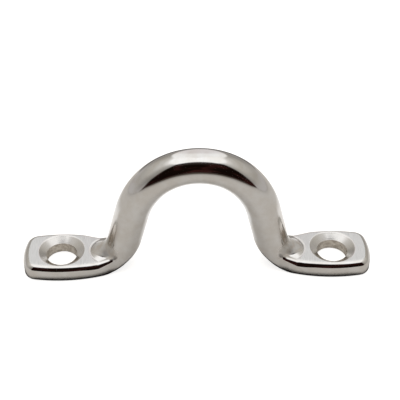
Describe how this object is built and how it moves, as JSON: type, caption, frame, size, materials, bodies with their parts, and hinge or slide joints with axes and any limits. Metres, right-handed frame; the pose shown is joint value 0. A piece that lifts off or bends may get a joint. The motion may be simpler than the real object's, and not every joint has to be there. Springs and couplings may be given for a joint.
{
  "type": "pad eye",
  "caption": "One-piece round-bar eye strap: an arched bow between two flat ears, each with a countersunk screw hole for fixing to a deck.",
  "frame": {"origin": "middle of the mounting surface, half way between the two screw holes and on the strap's centre line", "axes": "+X along the strap from one screw hole to the other, +Y across it (the way a line passes through the eye), +Z away from the mounting surface, up through the crown"},
  "size_m": [0.062, 0.0098, 0.0248],
  "materials": {
    "stainless_steel": "polished stainless steel, with satin tops on the ears"
  },
  "bodies": {
    "root": {"eye_strap": "stainless_steel"}
  },
  "joints": []
}
